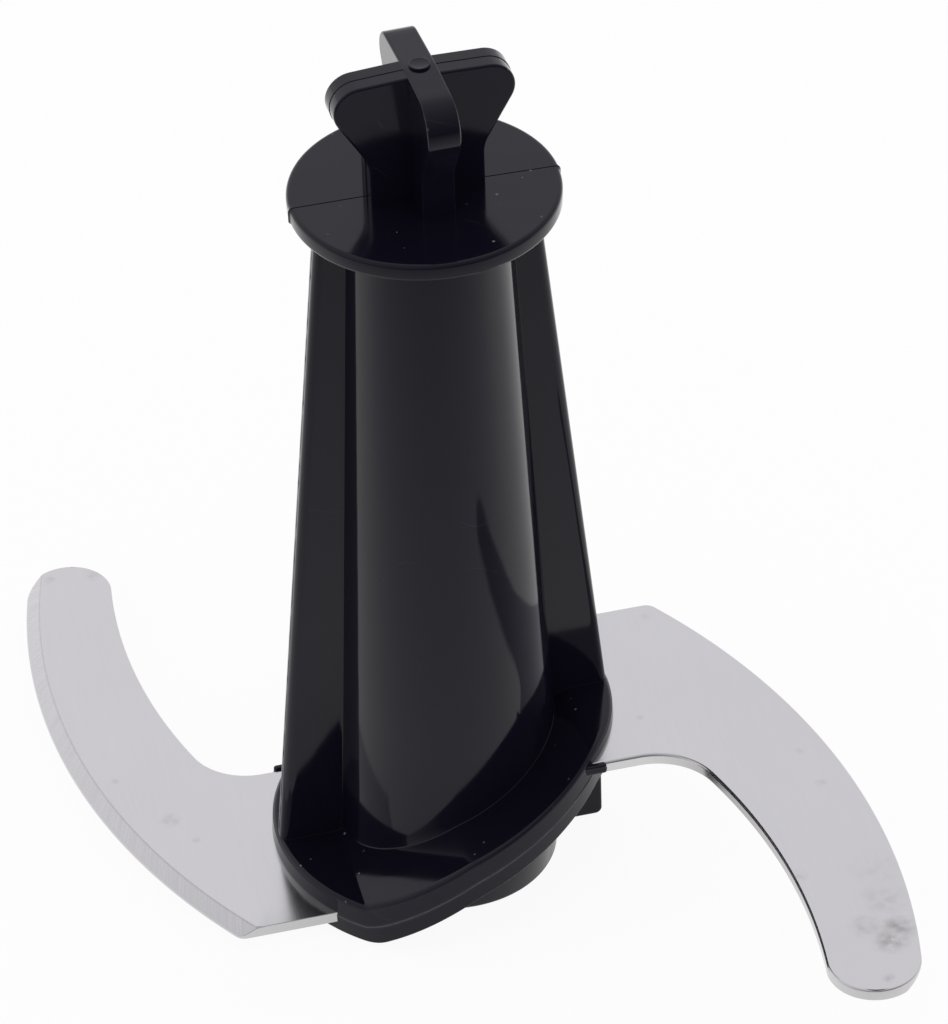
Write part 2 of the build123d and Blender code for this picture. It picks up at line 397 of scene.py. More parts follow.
def rim_angles():
    """Directions of the near half of the rim: even steps, and each place where a fold of the floor
    or of the underside meets the rim, so that the folds stay crisp."""
    found = [np.radians(np.linspace(0, 180, 121))]
    for below, pull in ((False, RIM_ROUND), (True, UNDER_ROUND)):
        places = [np.linspace(fold[0], fold[1], 9) for fold in folds(below)]
        places = np.concatenate(places + [[-RING_INNER, RING_INNER]])
        found.append(np.arccos(np.clip(places / rim_radius(places, below, pull), -1, 1)))
    angles = np.sort(np.concatenate(found))
    return angles[np.concatenate([[True], np.diff(angles) > 1e-4])]


def rim_settled(angle, below=False, pull=0.0):
    """Radius of the wall in each direction. The height that sets it is the section's own at the
    wall, so it is settled in a few rounds."""
    radius = np.full(angle.shape, ENVELOPE_RADIUS)
    for _ in range(SETTLING):
        radius = rim_radius(radius * np.cos(angle), below, pull)
    return radius


def along_section(angle, below, pull, shares):
    """Rows of the floor or the underside at shares of the way from the ring's inner circle to the
    rim, in straight lines across the wings' direction, so that the folds stay straight."""
    radius = rim_settled(angle, below, pull)
    x, outer = radius * np.cos(angle), radius * np.sin(angle)
    inner = np.sqrt(np.maximum(RING_INNER**2 - x**2, 0))
    y = inner + (outer - inner) * shares[:, None]
    return np.stack(np.broadcast_arrays(x, y, ramp(x, below)), -1)


def round_axis(angle, radius, height):
    """Rows round the axis, with a radius and a height that may change with the direction."""
    return np.stack(np.broadcast_arrays(radius * np.cos(angle), radius * np.sin(angle), height), -1)


def plate_rim(angle):
    """Rounded rim between floor and wall: an arc that leans over from nearly level to nearly
    upright, its height following the floor's."""
    outer = rim_settled(angle)
    lean = np.radians(np.linspace(*RIM_LEAN, 9))[:, None]
    inset = RIM_ROUND * (1 - np.sin(lean) / math.sin(lean[-1, 0]))
    height = ramp((outer - inset) * np.cos(angle)) - RIM_ROUND * (1 - np.cos(lean))
    return round_axis(angle, outer - inset, height)


def plate_wall(angle, start, end):
    """Wall between two heights: straight to the mould's line, a step out there with a bell-shaped
    bead of flash, and then drawn in evenly by the draft. Also how much painted highlight lies on
    it, from 0 to 1: another bell round the line, stronger where the flash stands out."""
    before = [-0.485, -0.47, -0.3, -0.1, -0.04, -0.02, -0.008]
    after = [0.0, 0.006, 0.014, 0.024, 0.04, 0.1, 0.25, 0.4, 0.49]
    past = np.array(before + after)[:, None]
    flash = flash_line(angle)
    height = start + (end - start) * (LINE_SHARE + past)
    bead = flash * np.exp(-((past / FLASH_SHARE) ** 2))
    draft = WALL_DRAFT * past / (1 - LINE_SHARE)
    out = np.where(past >= 0, LINE_STEP + bead - draft, 0)
    # Painted highlight: a bell round the line, stronger where the flash stands out
    bell = np.exp(-(((past - HIGHLIGHT_SHIFT) / HIGHLIGHT_SHARE) ** 2))
    highlight_and_scratches = bell * (HIGHLIGHT_LEAST + HIGHLIGHT_BY_FLASH * flash)
    return round_axis(angle, envelope(height) + RIM_OVERHANG + out, height), np.minimum(highlight_and_scratches, 1)


def plate():
    """Ramp plate as a ring: floor, rounded rim, wall, small lower rounding and underside over the
    near half, mirrored for the far half. The attribute holds how much painted highlight lies
    along the mould's line."""
    angle = rim_angles()
    floor_rows = along_section(angle, False, RIM_ROUND, np.append(np.linspace(0, 0.92, 7), [0.98, 1.0]))
    under_rows = along_section(angle, True, UNDER_ROUND, np.append([1.0, 0.98], np.linspace(0.92, 0, 5)))
    rim_rows = plate_rim(angle)
    end = ramp(rim_settled(angle, True) * np.cos(angle), True) + UNDER_ROUND
    wall_rows, highlight_and_scratches = plate_wall(angle, rim_rows[-1, :, 2], end)
    tuck = np.radians(np.linspace(*UNDER_LEAN, 5))[:, None]
    foot_radius = envelope(end) + RIM_OVERHANG + LINE_STEP - WALL_DRAFT - UNDER_ROUND * (1 - np.cos(tuck))
    corner_rows = round_axis(angle, foot_radius, end - UNDER_ROUND * np.sin(tuck))
    # The underside starts straight above or below the rounding's last row
    under_rows[0, :, :2] = corner_rows[-1, :, :2]
    under_rows[0, :, 2] = ramp(under_rows[0, :, 0], True)
    rows = np.concatenate([floor_rows, rim_rows, wall_rows, corner_rows, under_rows], 0)
    # The ring's inner wall, only where the inner circle is off the middle plane
    seat_points, seat_faces = skin(np.stack([rows[-1], rows[0]], 0), wrap_columns=False)
    open_ring = np.abs(rows[0, :, 0]) < RING_INNER + 1e-3
    seat = (seat_points, seat_faces[open_ring[:-1] & open_ring[1:]])
    near = joined(skin(rows, wrap_columns=False), seat)
    far = (near[0] * np.array([1, -1, 1]), near[1][:, ::-1])
    line_highlight = np.zeros(rows.shape)
    first_row = len(floor_rows) + len(rim_rows)
    line_highlight[first_row : first_row + len(wall_rows), :, 2] = highlight_and_scratches
    half = np.concatenate([line_highlight.reshape(-1, 3), 0 * seat_points])
    return joined(near, far), np.concatenate([half, half])


def turned(profile, steps=180, around=None):
    """A profile of radius and height carried round the axis, at even steps or given angles."""
    if around is None:
        around = np.linspace(0, 2 * np.pi, steps + 1)[:-1]
    radius, height = np.array(profile, float).T[:, :, None]
    return round_axis(around[None, :], radius, height)


def rounded(corners, radii, steps=8):
    """A closed outline with its corners turned into arcs that touch both sides."""
    corners = np.array(corners, float)
    found = []
    for here, before, after, radius in zip(corners, np.roll(corners, 1, 0), np.roll(corners, -1, 0), radii):
        back, ahead = before - here, after - here
        back, ahead = back / np.linalg.norm(back), ahead / np.linalg.norm(ahead)
        half = math.acos(np.clip(back @ ahead, -1, 1)) / 2
        if radius <= 0 or half > math.pi / 2 - 1e-3:
            found.append(here[None])
            continue
        middle = (back + ahead) / np.linalg.norm(back + ahead)
        centre = here + middle * radius / math.sin(half)
        first = here + back * radius / math.tan(half) - centre
        last = here + ahead * radius / math.tan(half) - centre
        share = np.linspace(0, 1, steps + 1)[:, None]
        sweep = math.pi - 2 * half
        bow = (np.sin((1 - share) * sweep) * first + np.sin(share * sweep) * last) / math.sin(sweep)
        found.append(centre + bow)
    return np.concatenate(found)


def spread(outline, gap):
    """The outline with extra points, so that none lie further apart than the gap."""
    ahead = np.roll(outline, -1, 0)
    counts = np.maximum(1, np.ceil(np.linalg.norm(ahead - outline, axis=1) / gap).astype(int))
    start = np.repeat(np.arange(len(outline)), counts)
    share = np.concatenate([np.arange(c) / c for c in counts])[:, None]
    return outline[start] * (1 - share) + ahead[start] * share


def inward(outline):
    """Unit normals of a closed outline that point inside, from the tangent through its neighbours."""
    tangent = np.roll(outline, -1, 0) - np.roll(outline, 1, 0)
    tangent /= np.linalg.norm(tangent, axis=1)[:, None]
    (x, y), (next_x, next_y) = outline.T, np.roll(outline, -1, 0).T
    return np.stack([-tangent[:, 1], tangent[:, 0]], -1) * np.sign(np.sum(x * next_y - y * next_x))


def slab(outline, low, high, edge, centre, steps=5, ledge=0.0):
    """A flat plate over an outline seen whole from its centre: both faces are the outline shrunk
    to the centre, and a quarter circle of the edge radius rounds each rim. With a ledge, the upper
    half of the thickness stands in from the lower half by that much, as two mould halves leave it.
    Rows a hair apart beside each rounding keep the flats flat to the eye."""
    outline = np.asarray(outline, float)
    into = inward(outline)
    quarter = np.linspace(0, np.pi / 2, steps + 1)
    bow = [(edge * (1 - math.sin(a)), edge * (1 - math.cos(a))) for a in quarter]
    hair = SLAB_BESIDE

    def rim_row(inset, height):
        return np.column_stack([outline + into * inset, np.full(len(outline), height)])

    def face_rows(inset, height):
        rim = rim_row(inset, height)
        middle = np.append(centre, height)
        return [middle + (rim - middle) * share for share in (0, 0.4, 0.8, 0.96)]

    rows = face_rows(edge + ledge, high) + [rim_row(edge + ledge + hair, high)]
    rows += [rim_row(inset + ledge, high - drop) for inset, drop in bow]
    rows += [rim_row(ledge, high - edge - hair)]
    if ledge:
        middle = (low + high) / 2
        rows += [rim_row(ledge, middle + away) for away in LEDGE_BESIDE]
        rows += [rim_row(0.0, middle - away) for away in LEDGE_BESIDE[::-1]]
    rows += [rim_row(0.0, low + edge + hair)]
    rows += [rim_row(inset, low + drop) for inset, drop in bow[::-1]]
    rows += [rim_row(edge + hair, low)] + face_rows(edge, low)[::-1]
    return np.array(rows)


def stood(points, turn=0.0):
    """A slab drawn lying down, stood up so that its outline is seen from the side, then turned
    about the axis."""
    x, z, y = points[..., 0], points[..., 1], -points[..., 2]
    c, s = math.cos(turn), math.sin(turn)
    return np.stack([x * c - y * s, x * s + y * c, z], -1)


def disc():
    """Disc below the grip: a profile with a crisp rim, carried round the axis. The mould's two
    halves meet a hair apart in height and width, along a line a little off the middle, and a small
    bell-shaped nib of flash stands out where the line crosses the rim."""
    quarter = np.radians(np.linspace(0, 90, 7))
    rim = DISC_RADIUS - DISC_EDGE
    turn = [(DISC_EDGE * math.sin(a), DISC_EDGE * (1 - math.cos(a))) for a in quarter]
    top = [(rim + out, DISC_TOP - down) for out, down in turn]
    low = [(rim + out, DISC_BOTTOM + up) for out, up in turn[::-1]]
    upper_face = [(r, DISC_TOP) for r in (0, 3, 7, 12, 16, rim - DISC_BESIDE)]
    under_face = [(r, DISC_BOTTOM) for r in (rim - DISC_BESIDE, 16, 12, 6, 0)]
    back = np.linspace(HALF_SKEW, math.pi, HALF_STEPS)
    front = np.linspace(math.pi + HALF_GAP, 2 * math.pi + HALF_SKEW - HALF_GAP, HALF_STEPS)
    around = np.concatenate([back, front])
    rows = turned(upper_face + top + low + under_face, around=around)
    radius = np.hypot(rows[..., 0], rows[..., 1])
    behind = np.arange(len(around)) < HALF_STEPS
    out = radius > rim
    from_left = np.abs(around - math.pi)
    from_right = np.abs((around - HALF_SKEW + math.pi) % (2 * math.pi) - math.pi)
    nib = NIB_OUT * np.exp(-((np.minimum(from_left, from_right) * DISC_RADIUS / NIB_WIDTH) ** 2))
    rows[..., :2] *= (1 + (HALF_OUT * behind + nib) * out / np.maximum(radius, 1))[..., None]
    rows[..., 2] += HALF_UP * (behind & (radius > 0.1) & (rows[..., 2] > DISC_TOP - DISC_EDGE / 2))
    return skin(rows)


def fin(top, plus, minus, turn, ledge=0.0):
    """One fin of the grip: an outline from the top's middle down each end, as places out and up
    with the radius that rounds each corner, then thickened."""
    down = [(0, top, 0), *plus]
    corners = [(x, DISC_TOP + z) for x, z, _ in down] + [(-x, DISC_TOP + z) for x, z, _ in minus[::-1]]
    outline = spread(rounded(corners, [r for _, _, r in (*down, *minus[::-1])], 14), 1.0)
    middle = np.array([0, DISC_TOP + FIN_MIDDLE])
    return skin(stood(slab(outline, -FIN_HALF, FIN_HALF, FIN_EDGE, middle, 5, ledge), turn))


def button():
    """Gate's button on the grip: a profile with a level dish, a rolled lip and an upright side,
    carried round the axis. The lip's places are inward from the side and up from the dish."""
    radius, rise = BUTTON_RADIUS, DISC_TOP + BUTTON_RISE
    lip = [(0.73, 0), (0.23, 0.07), (0.11, 0.09), (0.05, 0.08), (0.01, 0.03), (0, -0.1), (0, -1.6)]
    profile = [(0, rise)] + [(radius - inset, rise + up) for inset, up in lip] + [(0, rise - 1.6)]
    return skin(turned(profile, 48))


def foot():
    """Boss ring below the plate, the sleeve with its bore and six-sided socket, and four webs."""
    inner = BOSS_RADIUS - WALL + BOSS_GAP
    bow = 0.3 * BOSS_EDGE
    ring = [(inner, IN_PLATE), (inner, BOSS_INNER_EDGE), (inner + BOSS_INNER_EDGE, 0)]
    ring += [(BOSS_RADIUS - BOSS_EDGE, 0), (BOSS_RADIUS - bow, bow)]
    ring += [(BOSS_RADIUS, BOSS_EDGE), (BOSS_RADIUS, IN_PLATE)]
    boss = skin(turned(ring), wrap_rows=True)
    into_roof = ROOF + IN_ROOF
    bore_end = SLEEVE_MOUTH + BORE_DEPTH
    tube = [(0, into_roof), (SLEEVE_RADIUS, into_roof), (SLEEVE_RADIUS, SLEEVE_MOUTH + SLEEVE_EDGE)]
    tube += [(SLEEVE_RADIUS - SLEEVE_EDGE, SLEEVE_MOUTH), (BORE_RADIUS + BORE_EDGE, SLEEVE_MOUTH)]
    tube += [(BORE_RADIUS, SLEEVE_MOUTH + BORE_EDGE), (BORE_RADIUS, bore_end)]
    around = np.linspace(0, 2 * np.pi, 181)[:-1]
    from_flat = (around + np.pi / 6) % (np.pi / 3) - np.pi / 6
    hexagon = SOCKET_FLAT / np.cos(np.abs(from_flat) - np.pi / 6)
    socket_end = bore_end + SOCKET_DEPTH
    levels = ((1, bore_end), (1, socket_end), (0, socket_end))
    socket = [round_axis(around, share * hexagon, z) for share, z in levels]
    sleeve = skin(np.concatenate([turned(tube), socket], 0))
    reach = inner_wall(np.array([SLEEVE_MOUTH, into_roof])) + WEB_SEAT
    corners = [(WEB_START, SLEEVE_MOUTH), (reach[0], SLEEVE_MOUTH), (reach[0], WEB_BEND)]
    corners += [(reach[1], into_roof), (WEB_START, into_roof)]
    web = slab(spread(np.array(corners), 8.0), -WEB_HALF, WEB_HALF, WEB_EDGE, np.array(WEB_MIDDLE), 2)
    webs = [skin(stood(web, quarter * math.pi / 2)) for quarter in range(4)]
    return joined(boss, sleeve, *webs)


def prop():
    """Prop below the plate's high side, in line with the wings: a thick plate stood on edge, its
    outer lower corner rounded."""
    corners = [(PROP_START, PROP_CLEAR), (PROP_REACH, PROP_CLEAR)]
    corners += [(PROP_REACH, PROP_TOP), (PROP_START, PROP_TOP)]
    outline = spread(rounded(corners, (0, PROP_CORNER, 0, 0)), 1.5)
    return skin(stood(slab(outline, -PROP_HALF, PROP_HALF, PROP_EDGE, np.array(PROP_MIDDLE))))


def lug(top, height, turn, reach):
    """A small rounded block at the blade's far root corner, with the mould's ledge round it."""
    middle = BACK_ROOT[1] + LUG_SHIFT
    wall = math.sqrt((float(envelope(top)) + RIM_OVERHANG) ** 2 - middle**2)
    start, end = wall - LUG_SEAT, wall + reach
    corners = [(start, -LUG_HALF), (end, -LUG_HALF), (end, LUG_HALF), (start, LUG_HALF)]
    outline = spread(rounded(np.array(corners) - (0, middle), (0, LUG_CORNER, LUG_CORNER, 0), 6), 0.4)
    rows = slab(outline, top - height, top, LUG_EDGE, np.array([wall + LUG_MIDDLE, -middle]), 5, LUG_LEDGE)
    return skin(rows * np.array([turn, turn, 1]))


def arc_centre(start, from_start, end, from_end):
    """Centre at two distances from two points, on the right of the way from start to end."""
    start, end = np.array(start), np.array(end)
    span = end - start
    length = np.linalg.norm(span)
    along = (length**2 + from_start**2 - from_end**2) / (2 * length)
    across = math.sqrt(from_start**2 - along**2)
    ahead = span / length
    return start + ahead * along + np.array([ahead[1], -ahead[0]]) * across


EDGE_CENTRE = arc_centre(EDGE_ROOT, EDGE_RADIUS, TIP_CENTRE, EDGE_RADIUS - TIP_RADIUS)
BACK_CENTRE = arc_centre(BACK_ROOT, BACK_RADIUS, TIP_CENTRE, BACK_RADIUS + TIP_RADIUS)


def circle_run(centre, radius, first, last, count):
    """Points of a circle from one angle to another."""
    angle = np.linspace(first, last, count)[:, None]
    return centre + radius * np.concatenate([np.cos(angle), np.sin(angle)], 1)


def heading(way):
    """Angle of a direction, from no turn up to a whole turn."""
    return math.atan2(way[1], way[0]) % (2 * math.pi)


def root_centre(y, centre, distance):
    """Centre of a root's rounding: at height y in plan, at a distance from a side's centre."""
    return np.array([centre[0] - math.sqrt(distance**2 - (y - centre[1]) ** 2), y])


def tang_side(end, y, count):
    """Points of the tang's straight side, without the last, which the next arc gives."""
    return np.column_stack([np.linspace(TANG_END, end, count + 1)[:-1], np.full(count, y)])


def blade_sides():
    """The blade's two long sides in plan, from the tang to the middle of the tip, with as many
    points on each: straight, a rounded corner, the cutting circle and half the tip's circle; and
    straight, the root blend, the back's circle and the tip's other half."""
    tip = np.array(TIP_CENTRE)
    corner = root_centre(EDGE_ROOT[1] + ROOT_CORNER, EDGE_CENTRE, EDGE_RADIUS - ROOT_CORNER)
    blend = root_centre(BACK_ROOT[1] + BACK_BLEND, BACK_CENTRE, BACK_RADIUS - BACK_BLEND)
    low = 1.5 * math.pi
    touch, leave = heading(corner - EDGE_CENTRE), heading(tip - EDGE_CENTRE)
    reach, far = heading(blend - BACK_CENTRE), heading(tip - BACK_CENTRE)
    end = leave - math.pi / 2
    cut = [
        tang_side(corner[0], EDGE_ROOT[1], 14),
        circle_run(corner, ROOT_CORNER, low, touch, 6),
        circle_run(EDGE_CENTRE, EDGE_RADIUS, touch, leave, 101)[1:],
        circle_run(tip, TIP_RADIUS, leave, end, TIP_STEPS + 1)[1:],
    ]
    back = [
        tang_side(blend[0], BACK_ROOT[1], 10),
        circle_run(blend, BACK_BLEND, low, reach, 24),
        circle_run(BACK_CENTRE, BACK_RADIUS, reach, far, 87)[1:],
        circle_run(tip, TIP_RADIUS, far - math.pi, end, TIP_STEPS + 1)[1:],
    ]
    return np.concatenate(cut), np.concatenate(back)


def bevel_share(start, chord):
    """Share of each chord, from the cutting side to the back, at which it crosses the bevel's inner
    circle: the nearer root of the crossing's quadratic, and 0 where it starts inside the circle."""
    offset = start - EDGE_CENTRE
    a = np.maximum((chord**2).sum(1), 1e-9)
    b = (chord * offset).sum(1)
    c = (offset**2).sum(1) - (EDGE_RADIUS - BEVEL_WIDTH) ** 2
    share = np.clip((-b - np.sqrt(np.maximum(b * b - a * c, 0))) / a, 0, 1)
    return np.where(c > 0, share, 0)


def blade(half_turn):
    """A blade as section loops carried from the tang to the tip: across the flat to the bevel's
    line, down the bevel, round the rim, back along the underside and round the back's rim. The
    bevel's height falls evenly with the distance from the cutting circle's centre. The attribute
    holds millimetres along the blade and in from its cutting edge. Each face's kind is 1 on the
    bevel. The upper blade is the same one turned over."""
    cut, back = blade_sides()
    count = len(cut)
    into = inward(np.concatenate([cut, back[::-1][1:]]))
    cut_in, back_in = into[:count], into[count - 1 :][::-1]
    low = LOWER_TOP - BLADE_THICKNESS
    steepness = (BLADE_THICKNESS - BEVEL_LAND) / BEVEL_WIDTH
    quarter = np.linspace(0, np.pi / 2, 6)
    onto_side = list(zip(1 - np.sin(quarter), 1 - np.cos(quarter)))

    def underside(p):
        return low

    def flat(p):
        return LOWER_TOP

    def bevelled(p):
        past = EDGE_RADIUS - np.linalg.norm(p - EDGE_CENTRE, axis=-1)
        return np.minimum(LOWER_TOP, low + BEVEL_LAND + steepness * np.maximum(past, 0))

    def level(p, height):
        return np.column_stack([p, height + np.zeros(count)])

    def rounding(side, inwards, soft, face, sign, steps):
        places = [side + inwards * inset * soft for inset, _ in steps]
        return [level(p, face(p) + sign * drop * soft[:, 0]) for p, (_, drop) in zip(places, steps)]

    # Each side's rounding on the bevelled face and on the other one, evened out over the tip
    over_tip = np.clip((np.arange(count) - count + TIP_STEPS + 1) / TIP_STEPS, 0, 1)[:, None] / 2
    cut_top, back_top = [CUT_SOFT + (BACK_SOFT - CUT_SOFT) * k for k in (over_tip, 1 - over_tip)]
    cut_low, back_low = [CUT_SOFT + (UNDER_SOFT - CUT_SOFT) * k for k in (over_tip, 1 - over_tip)]
    first, last = cut + cut_in * cut_top, back + back_in * back_top
    chord = last - first
    line = bevel_share(first, chord)
    columns = [level(last, LOWER_TOP), level(back + back_in * (back_top + BESIDE), LOWER_TOP)]
    for share in np.linspace(1, 0, 9)[1:]:
        columns.append(level(first + chord * (line + (1 - line) * share)[:, None], LOWER_TOP))
    bevel_first = len(columns) - 1
    for share in (0.67, 0.33, 0.0):
        p = first + chord * (line * share)[:, None]
        columns.append(level(p, bevelled(p)))
    bevel_last = len(columns) - 1
    columns += rounding(cut, cut_in, cut_top, bevelled, -1, onto_side[1:])
    columns += rounding(cut, cut_in, cut_low, underside, 1, onto_side[::-1])
    columns.append(level(cut + cut_in * (cut_low + BESIDE), low))
    columns += [level(first + chord * share, low) for share in np.linspace(0, 1, 8)[1:-1]]
    columns.append(level(back + back_in * (back_low + BESIDE), low))
    columns += rounding(back, back_in, back_low, underside, 1, onto_side)
    columns.append(level(back, low + back_low[:, 0] + BESIDE))
    columns.append(level(back, LOWER_TOP - back_top[:, 0] - BESIDE))
    columns += rounding(back, back_in, back_top, flat, -1, onto_side[:0:-1])
    grid = np.stack(columns, 1)
    cap = np.broadcast_to(grid[0].mean(0), grid[:1].shape)
    grid = np.concatenate([cap, grid], 0)
    along = np.concatenate([[0, 0], np.cumsum(np.linalg.norm(np.diff(cut, axis=0), axis=1))])
    from_edge = EDGE_RADIUS - np.linalg.norm(grid[..., :2] - EDGE_CENTRE, axis=-1)
    way = np.stack([along[:, None] + 0 * from_edge, from_edge, 0 * from_edge], -1).reshape(-1, 3)
    kinds = np.zeros(grid.shape[:2], int)
    kinds[:, bevel_first:bevel_last] = 1
    if half_turn:
        grid = np.stack([-grid[..., 0], -grid[..., 1], UPPER_TOP + low - grid[..., 2]], -1)
    return skin(grid), way, kinds[:-1].reshape(-1)


def add_node(tree, kind, inputs=None, links=None, **settings):
    """A node with its settings, socket values and links from other nodes' sockets. A socket goes by
    its name, or by its place where several share one: 1 to 4 are a Map Range's from and to, 2 and 3
    a Mix's two numbers, and 6 and 7 its two colours."""
    node = tree.nodes.new(kind)
    for name, value in settings.items():
        setattr(node, name, value)
    for name, value in (inputs or {}).items():
        node.inputs[name].default_value = value
    for name, socket in (links or {}).items():
        tree.links.new(socket, node.inputs[name])
    return node


def new_material(name):
    """An empty material and its node tree."""
    material = bpy.data.materials.new(name)
    material.use_nodes = True
    material.node_tree.nodes.clear()
    return material, material.node_tree


def repeats(size):
    """Scale of a pattern on Object coordinates that repeats about once in a size in millimetres."""
    return 1 / (size * MM)


def moulded_black():
    """Black polypropylene, injection moulded in a polished tool. It mirrors its surroundings dimly
    with a slight waviness, is duller on the grip where hands rub it, and holds a little dust."""
    material, tree = new_material("moulded_black_polypropylene")
    place = add_node(tree, "ShaderNodeTexCoord").outputs["Object"]
    split = add_node(tree, "ShaderNodeSeparateXYZ", links={0: place})
    # Roughness: duller from the disc upwards, and in cloudy patches of about 6 mm
    polished, handled = 0.085, 0.12
    dull_from, dull_to = 106.0 * MM, 114.0 * MM
    gloss = add_node(
        tree,
        "ShaderNodeMapRange",
        {1: dull_from, 2: dull_to, 3: polished, 4: handled},
        {0: split.outputs["Z"]},
    )
    cloud = add_node(
        tree, "ShaderNodeTexNoise", {"Scale": repeats(5.882), "Detail": 4.0}, {"Vector": place}
    )
    patchy = add_node(
        tree, "ShaderNodeMapRange", {1: 0.3, 2: 0.7, 3: 0.8, 4: 1.25}, {0: cloud.outputs["Fac"]}
    )
    rough = add_node(
        tree, "ShaderNodeMath", links={0: gloss.outputs[0], 1: patchy.outputs[0]}, operation="MULTIPLY"
    )
    # Dust grains of 0.4 mm, in about one cell of six, each of its own paleness, on faces that look up
    cell, grain_radius, share_without = 1.4286, 0.2, 0.84
    grains = add_node(tree, "ShaderNodeTexVoronoi", {"Scale": repeats(cell)}, {"Vector": place})
    near = add_node(
        tree,
        "ShaderNodeMath",
        {1: grain_radius / cell},
        {0: grains.outputs["Distance"]},
        operation="LESS_THAN",
    )
    pick = add_node(tree, "ShaderNodeSeparateXYZ", links={0: grains.outputs["Color"]})
    few = add_node(
        tree, "ShaderNodeMath", {1: share_without}, {0: pick.outputs["X"]}, operation="GREATER_THAN"
    )
    face = add_node(tree, "ShaderNodeNewGeometry")
    tilt = add_node(tree, "ShaderNodeSeparateXYZ", links={0: face.outputs["Normal"]})
    lies = add_node(
        tree, "ShaderNodeMapRange", {1: 0.1, 2: 0.9, 3: 0.0, 4: 1.0}, {0: tilt.outputs["Z"]}
    )
    dust = near.outputs[0]
    for factor in (few.outputs[0], lies.outputs[0], pick.outputs["Y"]):
        dust = add_node(
            tree, "ShaderNodeMath", links={0: dust, 1: factor}, operation="MULTIPLY"
        ).outputs[0]
    # Hairline scratches 0.1 mm wide: thin level lines of a slow noise, where a cloud lets them show.
    # Each lies where the noise is within 0.0022 of its middle value.
    strays = add_node(
        tree, "ShaderNodeTexNoise", {"Scale": repeats(18.18), "Detail": 0.0}, {"Vector": place}
    )
    level = add_node(tree, "ShaderNodeMath", {1: 0.5}, {0: strays.outputs["Fac"]}, operation="SUBTRACT")
    away = add_node(tree, "ShaderNodeMath", links={0: level.outputs[0]}, operation="ABSOLUTE")
    hair = add_node(
        tree, "ShaderNodeMapRange", {1: 0.0, 2: 0.0022, 3: 1.0, 4: 0.0}, {0: away.outputs[0]}
    )
    gaps = add_node(
        tree, "ShaderNodeMapRange", {1: 0.54, 2: 0.66, 3: 0.0, 4: 0.16}, {0: cloud.outputs["Fac"]}
    )
    scratch = add_node(
        tree, "ShaderNodeMath", links={0: hair.outputs[0], 1: gaps.outputs[0]}, operation="MULTIPLY"
    )
    # A painted highlight along the line where the mould's halves met, from the plate's attribute
    way = add_node(tree, "ShaderNodeAttribute", attribute_name="way")
    painted_line = add_node(tree, "ShaderNodeSeparateXYZ", links={0: way.outputs["Vector"]})
    pale = add_node(
        tree, "ShaderNodeMath", links={0: scratch.outputs[0], 1: painted_line.outputs["Z"]}, operation="MAXIMUM"
    )
    # Pale for the real scratches and for the painted highlight along the mould's line
    highlight_and_scratches = add_node(
        tree,
        "ShaderNodeMix",
        {6: linear("#0f0e19"), 7: linear("#4c4b50")},
        {0: pale.outputs[0]},
        data_type="RGBA",
    )
    colour = add_node(
        tree,
        "ShaderNodeMix",
        {7: linear("#6c6b70")},
        {0: dust, 6: highlight_and_scratches.outputs[2]},
        data_type="RGBA",
    )
    # The skin's waviness, about 9 mm from crest to crest, and a fine grain of about 0.4 mm
    wave = add_node(
        tree, "ShaderNodeTexNoise", {"Scale": repeats(9.091), "Detail": 1.0}, {"Vector": place}
    )
    grain = add_node(
        tree, "ShaderNodeTexNoise", {"Scale": repeats(0.3846), "Detail": 2.0}, {"Vector": place}
    )
    wavy = add_node(
        tree,
        "ShaderNodeBump",
        {"Strength": 0.3, "Distance": 0.15 * MM},
        {"Height": wave.outputs["Fac"]},
    )
    bump = add_node(
        tree,
        "ShaderNodeBump",
        {"Strength": 0.12, "Distance": 0.01 * MM},
        {"Height": grain.outputs["Fac"], "Normal": wavy.outputs["Normal"]},
    )
    shader = add_node(
        tree,
        "ShaderNodeBsdfPrincipled",
        {"IOR": 1.35},
        {"Base Color": colour.outputs[2], "Roughness": rough.outputs[0], "Normal": bump.outputs["Normal"]},
    )
    add_node(tree, "ShaderNodeOutputMaterial", links={"Surface": shader.outputs["BSDF"]})
    return material


# Marks on the blades' flats: x and y in millimetres, radius, and how dark
STAINS = (
    (45.3, -61.6, 3.4, 0.6),
    (46.9, -59.6, 3.2, 0.65),
    (42.9, -58.2, 3.0, 0.35),
    (46.6, -53.6, 4.5, 0.2),
    (47.5, -48.0, 5.0, 0.1),
    (42.8, -68.7, 1.2, 0.35),
    (37.3, -46.0, 1.8, 0.2),
    (25.7, -8.3, 1.0, 0.2),
    (44.9, -21.4, 1.0, 0.2),
    (45.7, -28.7, 1.3, 0.2),
    (32.3, 12.7, 1.2, 0.15),
    (-38.1, 10.2, 2.0, 0.3),
    (-35.5, 5.0, 1.0, 0.2),
    (-44.1, 68.3, 1.3, 0.3),
    (-37.9, 67.6, 1.8, 0.2),
    (-43.9, 20.5, 0.9, 0.2),
)


